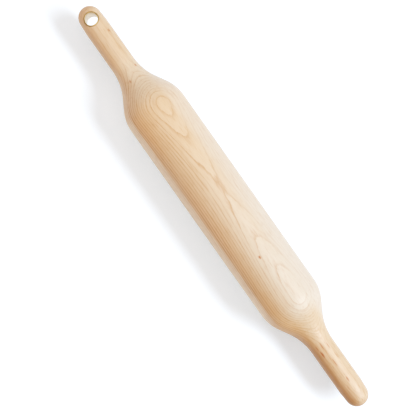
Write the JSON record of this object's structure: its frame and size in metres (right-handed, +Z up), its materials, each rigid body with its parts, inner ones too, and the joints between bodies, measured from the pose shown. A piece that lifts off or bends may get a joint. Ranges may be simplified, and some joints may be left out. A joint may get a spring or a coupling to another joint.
{
  "type": "rolling pin",
  "caption": "Turned wooden rolling pin with a straight barrel, double-curved shoulders and slim round-tipped handles, drilled for hanging through a flush metal liner.",
  "frame": {"origin": "centre of the pin on its turning axis, halfway between the two tips", "axes": "+X along the turning axis towards the handle with the hanging hole, +Z up along the axis of that hole, +Y across the pin. Lying on a table, the barrel touches it at Z = -31.75 mm"},
  "size_m": [0.482, 0.0635, 0.0634],
  "materials": {
    "pale_wood": "pale close-grained hardwood, fine sanded, with a thin satin oil finish",
    "liner_brass": "thin drawn brass tube, sanded flush with the wood, dulled"
  },
  "bodies": {
    "root": {"wooden_pin": "pale_wood", "hanging_hole_liner": "liner_brass"}
  },
  "joints": []
}
